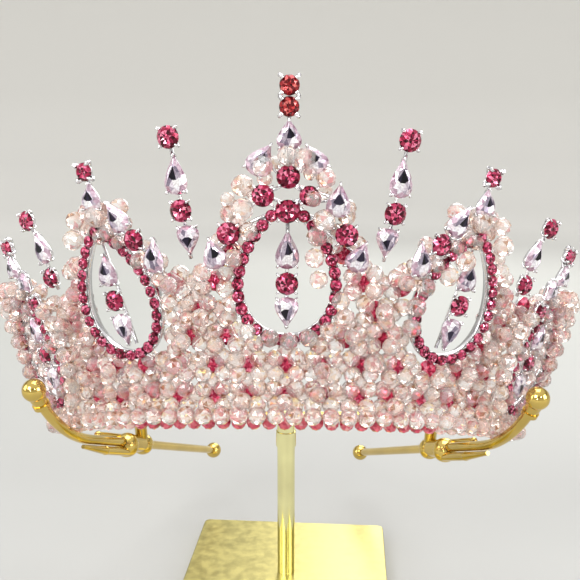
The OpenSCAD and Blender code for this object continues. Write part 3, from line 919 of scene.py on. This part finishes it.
def build_frame(label, win, side, stones_on_it):
    s0 = win["s"]
    metal, paving = Heap(), Heap()
    card = panel(s0, side)
    metal.add(*swept(lambda extra, n: window(win, extra, n), CHANNEL, 80), card)
    small = round_cut(PAVE_D, PAVE_T, PAVE_SIDES)
    for spot, along in even(window(win, RING_W / 2, 160), PAVE_PITCH):
        place = put(card, spot.x, PAVE_OUT, spot.y)
        paving.add(*small, place, colour_and_painted_reflections(DEEP_STONE, PAVE_SIDES))
        across = Vector((-along.y, along.x))
        for way in (-1, 1):
            grain = spot + along * (PAVE_PITCH / 2) + across * (way * GRAIN_ACROSS)
            metal.add(*BALL, put(card, grain.x, GRAIN_OUT, grain.y) @ Matrix.Scale(GRAIN_R, 4))
    apex = on_axis(win, (win["high"] - win["low"] + win["point"]) / 2)
    for name, spec in stones_on_it.items():
        stones = Heap()
        foil, slot, palette = pink_foil, "deep_pink_stone", DEEP_STONE
        if spec[0] == "pear":
            foil, slot, palette = lilac_foil, "lilac_stone", LILAC_STONE
        if name in RED_ONES:
            palette = RED_STONE
        place, long = set_stone(stones, metal, s0, side, spec, STONE_OUT, palette)
        node_name = name if win is CENTRE else f"{name}_{label.split('_')[1]}"
        stones.build(node_name + "_cut", foil, slot, instead_of=[node_name])
        spot = card.inverted() @ place @ Vector((0, 0, long / 2))
        stem_end = (spot.x, -STEM_OUT, spot.z)
        if win is not CENTRE or spot.z < FORK_H - 1:
            add_wire(metal, card, [(apex.x, -STEM_OUT, apex.y), stem_end], STEM_R)
        if win is CENTRE and spot.z > apex.y + 1:
            add_wire(metal, card, [(0, -STEM_OUT, FORK_H), stem_end], STEM_R)
    metal.build(f"frame_{label}_silver", silver, "silver", smooth=True,
                instead_of=["frame_" + label])
    paving.build(f"frame_{label}_paving", pink_foil, "deep_pink_stone")
    print("frame", label, "with", len(stones_on_it), "stones")


build_frame("centre", CENTRE, 1, CENTRE_STONES)
for name, side in SIDES:
    build_frame("mid_" + name, MID, side, MID_STONES)
    build_frame("side_" + name, SIDE, side, SIDE_STONES)

# %% [markdown]
# ## Beads over the side frames
# Round the sides the beads are strung right over the frames: close together over the far rim, and
# one here and there over the near one, where the wall's own beads help. A few more hang behind
# each side window, on both sides of its column. All follow the window's outline and its axis.

# %% Side frame beads
RIM_PITCH, RIM_D, BACK_D = 4.5, 4.6, 4.2
# How far out the beads on the far and near rims stand, and how far past the near rim they are
FAR_OUT, NEAR_OUT, NEAR_PAST = 2.2, 1.2, 1.5
# Beads behind the window: up from its middle, and out from its axis
SIDE_BACK = [(-9.6, 3.4), (-5.4, 4.7), (-1.2, 5.2), (3.0, 4.4), (7.2, 3.2), (11.0, 1.6)]
for name, side in SIDES:
    heap, card = Heap(), panel(SIDE["s"], side)
    for i, (spot, _) in enumerate(even(window(SIDE, RING_W * 0.3, 160), RIM_PITCH)):
        if spot.x > 0:
            add_bead(heap, put(card, spot.x, FAR_OUT, spot.y), RIM_D)
        elif i % 3 == 0:
            add_bead(heap, put(card, spot.x - NEAR_PAST, NEAR_OUT, spot.y), RIM_D)
    for up, reach in SIDE_BACK:
        spot = on_axis(SIDE, up)
        for way, out in ((-1, -3.2), (1, -0.4)):
            add_bead(heap, put(card, spot.x + way * reach, out, spot.y), BACK_D, HAZY)
    heap.build("beads_over_side_" + name, pale_crystal, "pale_pink_crystal")
    print("beads over side frame", name, len(heap.faces) // len(BEAD[1]))

# %% [markdown]
# ## Drops and spikes
# In each window hangs a soldered column: a pear, a chaton and a pear upside down. Between the
# panels stand spikes of the same stones on stiff wire. Both are strings of set stones on a wire,
# so one function makes them.

# %% Columns of stones
DROP_OUT, SPIKE_OUT, COLUMN_R = -1.6, -2.4, 0.5
CENTRE_DROP = [("pear", 0, 41.4, 0, 51.2), ("round", 0, 37.8, ROUND_D), ("pear", 0, 34.5, 0, 26.6)]
MID_DROP = [("pear", 39.6, 38.9, 39.3, 47.6), ("round", 39.2, 35.1, ROUND_D),
            ("pear", 38.7, 31.6, 37.6, 23.1)]
SIDE_DROP = [("pear", 68.9, 26.8, 69.1, 35), ("round", 68.7, 23.2, ROUND_D),
             ("pear", 68.4, 19.9, 68.1, 11.6)]
SPIKE_1 = [("pear", 19.9, 52.5, 19.8, 44.9), ("round", 20.8, 56.1, ROUND_D),
           ("pear", 21.2, 60, 20.9, 70), ("round", 21.6, 73.9, ROUND_D)]
SPIKE_2 = [("round", 57.6, 43.6, ROUND_D), ("pear", 57.2, 47.6, 57.9, 56.6),
           ("round", 59.8, 60.1, ROUND_D)]


def build_column(label, s0, side, specs, out, foot, top):
    metal, pinks, lilacs = Heap(), Heap(), Heap()
    card = panel(s0, side)
    for spec in specs:
        heap, palette = (pinks, DEEP_STONE) if spec[0] == "round" else (lilacs, LILAC_STONE)
        set_stone(heap, metal, s0, side, spec, out, palette)
    ends = [(x, -out - COLUMN_R, z) for x, z in (foot, top)]
    add_wire(metal, card, ends, COLUMN_R)
    metal.build(label + "_silver", silver, "silver", smooth=True, instead_of=[label])
    pinks.build(label + "_rounds", pink_foil, "deep_pink_stone")
    lilacs.build(label + "_pears", lilac_foil, "lilac_stone")


def window_reach(win):
    half = (win["high"] - win["low"]) / 2 - 1
    return on_axis(win, -half), on_axis(win, half)


for name, side in SIDES:
    for label, win, drop in (("mid", MID, MID_DROP), ("side", SIDE, SIDE_DROP)):
        low, high = window_reach(win)
        build_column(f"drop_{label}_{name}", win["s"], side, drop, DROP_OUT, low, high)
    for label, s0, foot, spec in (("inner", 20, (20, 44.1), SPIKE_1),
                                  ("outer", 56.8, (56.8, 40.1), SPIKE_2)):
        low, high = on_panel(s0, *foot), on_panel(s0, *spec[-1][1:3])
        build_column(f"spike_{label}_{name}", s0, side, spec, SPIKE_OUT, low, high)
low, high = window_reach(CENTRE)
build_column("drop_centre", 0, 1, CENTRE_DROP, DROP_OUT, low, high)
print("columns: 5 drops and 4 spikes")

# %% [markdown]
# ## The stand
# The rods, clamps and post are turned and bent brass, so the CAD solids already have their shape
# and only need the plate's finish. The foot is a cast plate: its edges are broken by a small
# bevel that catches the light, which the CAD block hasn't got, so a bevelled plate replaces it.

# %% Stand finishes
# The post takes the gold painted paler, a painted reflection; the other parts take the polished
# gold
for label in ("post", "cross_bar", "arm_left", "arm_right", "clamp_left", "clamp_right"):
    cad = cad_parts[label]
    for i in range(len(cad.data.materials)):
        cad.data.materials[i] = gold_painted_paler if label == "post" else polished_gold
    print("plated", label)

PLATE_SIDE, PLATE_T, PLATE_YAW, PLATE_CORNER, PLATE_BEVEL = 68.0, 5.0, -4.4, 2.0, 0.5
shape = bmesh.new()
bmesh.ops.create_cube(shape, size=1.0)
for v in shape.verts:
    v.co = Vector((v.co.x * PLATE_SIDE, v.co.y * PLATE_SIDE, (v.co.z + 0.5) * PLATE_T)) * MM
upright = [e for e in shape.edges if abs(e.verts[0].co.z - e.verts[1].co.z) > 0.001]
bmesh.ops.bevel(shape, geom=upright, offset=PLATE_CORNER * MM, segments=6, affect="EDGES",
                profile=0.5)
rims = [e for e in shape.edges if len(e.link_faces) == 2
        and abs(e.verts[0].co.z - e.verts[1].co.z) < 1e-6
        and abs(e.link_faces[0].normal.z - e.link_faces[1].normal.z) > 0.5]
bmesh.ops.bevel(shape, geom=rims, offset=PLATE_BEVEL * MM, segments=3, affect="EDGES",
                profile=0.5)
bmesh.ops.rotate(shape, verts=shape.verts, matrix=turn("Z", PLATE_YAW).to_3x3())
mesh = bpy.data.meshes.new("foot_plate_satin")
shape.to_mesh(mesh)
shape.free()
plate = add_object("foot_plate_satin", mesh, satin_gold)
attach(plate, "root")
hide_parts("foot_plate")
print("foot plate:", len(mesh.polygons), "faces")

# %% [markdown]
# ## Studio
# A pale floor that sweeps up into a low wall all round keeps the background plain from every
# side. Soft lights above and beside it give the even, bright look; the sky above is a gradient,
# because polished metal needs something lighter and something darker to reflect.

# %% Floor
# Radius and height of each ring of the floor, in metres
COVE = [(0.0, 0.0), (0.5, 0.0), (0.9, 0.0), (1.15, 0.02), (1.32, 0.09), (1.42, 0.22),
        (1.46, 0.42)]
COVE_SIDES = 64
points, faces = [], []
for r, z in COVE:
    points += [(x, y, z) for x, y in circle(r, COVE_SIDES)]
for j in range(len(COVE) - 1):
    inner, outer = j * COVE_SIDES, (j + 1) * COVE_SIDES
    for i in range(COVE_SIDES):
        k = (i + 1) % COVE_SIDES
        faces.append([inner + i, outer + i, outer + k, inner + k])
mesh = bpy.data.meshes.new("studio_floor")
mesh.from_pydata(points, [], faces)
mesh.polygons.foreach_set("use_smooth", [True] * len(faces))
floor_paint, tree, shader = material("matt_paper", {
    "Base Color": linear("#E4E0DE") + (1,), "Roughness": 0.7})
place = node(tree, "ShaderNodeTexCoord")
away = node(tree, "ShaderNodeVectorMath", links={0: place.outputs["Object"]}, operation="LENGTH")
# painted shade: the paper is greyer under the stand, where the lamps are brightest, and paler out
# towards the wall
shade = node(tree, "ShaderNodeValToRGB", links={"Fac": away.outputs["Value"]},
             stops=[(0.15, "#A4A4A1"), (0.5, "#B1B2AD"), (1.0, "#D7D6D1")])
tree.links.new(shade.outputs["Color"], shader.inputs["Base Color"])
floor = add_object("studio_floor", mesh, floor_paint)
floor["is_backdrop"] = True
print("floor:", len(faces), "faces")

# %% Sky and lights
world = bpy.data.worlds.new("studio")
bpy.context.scene.world = world
world.use_nodes = True
tree = world.node_tree
sky = tree.nodes["Background"]
place = node(tree, "ShaderNodeTexCoord")
split = node(tree, "ShaderNodeSeparateXYZ", links={"Vector": place.outputs["Generated"]})
shade = node(tree, "ShaderNodeValToRGB", links={"Fac": split.outputs["Z"]},
             stops=[(0.0, "#EDEAE8"), (0.25, "#D8D5D3"), (0.45, "#8E8C8D"), (0.7, "#F4F2F0"),
                    (1.0, "#FFFFFF")])
tree.links.new(shade.outputs["Color"], sky.inputs["Color"])
sky.inputs["Strength"].default_value = 1.05
CROWN_MID = Vector((0, -0.04, 0.11))
# Each lamp's place, width in metres and power in watts. The two small ones make the sparks.
LAMPS = {"key": ((-0.45, -0.65, 0.60), 0.35, 5.1), "fill": ((0.65, -0.40, 0.35), 0.40, 3.1),
         "top": ((0.05, 0.10, 0.80), 0.50, 2.9), "back": ((0.20, 0.60, 0.45), 0.40, 2.0),
         "side": ((-0.70, -0.15, 0.35), 0.40, 1.6),
         "spark_left": ((-0.25, -0.80, 0.25), 0.05, 1.0),
         "spark_right": ((0.30, -0.75, 0.50), 0.05, 1.0)}
for name, (place, width, watts) in LAMPS.items():
    lamp = bpy.data.lights.new(name, "AREA")
    lamp.size = width
    lamp.energy = watts
    made = bpy.data.objects.new(name, lamp)
    made.location = place
    made.rotation_euler = (CROWN_MID - Vector(place)).to_track_quat("-Z", "Y").to_euler()
    bpy.context.scene.collection.objects.link(made)
bpy.context.scene.view_settings.view_transform = "Standard"
print("lights:", len(bpy.data.lights))

# %% [markdown]
# ## Camera
# The photograph was taken from close by, about level with the spikes' tips and looking down by
# some 12 degrees. The camera stands where a fit to the crown's own points puts it, with a lens
# that gives that fit's focal length.

# %% Camera
CAMERA_AT = (0.0013, -0.241, 0.15205)
LOOK_DOWN = 11.59
FOCAL_PIXELS, FRAME_PIXELS = 780.0, 580.0
lens = bpy.data.cameras.new("camera")
lens.sensor_width = 36.0
lens.lens = lens.sensor_width * FOCAL_PIXELS / FRAME_PIXELS
lens.clip_start = 0.01
camera = bpy.data.objects.new("camera", lens)
camera.location = CAMERA_AT
camera.rotation_euler = (math.radians(90 - LOOK_DOWN), 0, 0)
bpy.context.scene.collection.objects.link(camera)
bpy.context.scene.camera = camera
print("camera", round(abs(CAMERA_AT[1]), 3), "m in front of the post")

# %% Size
low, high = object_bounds()
print("visual size:", [round(v, 4) for v in high - low])
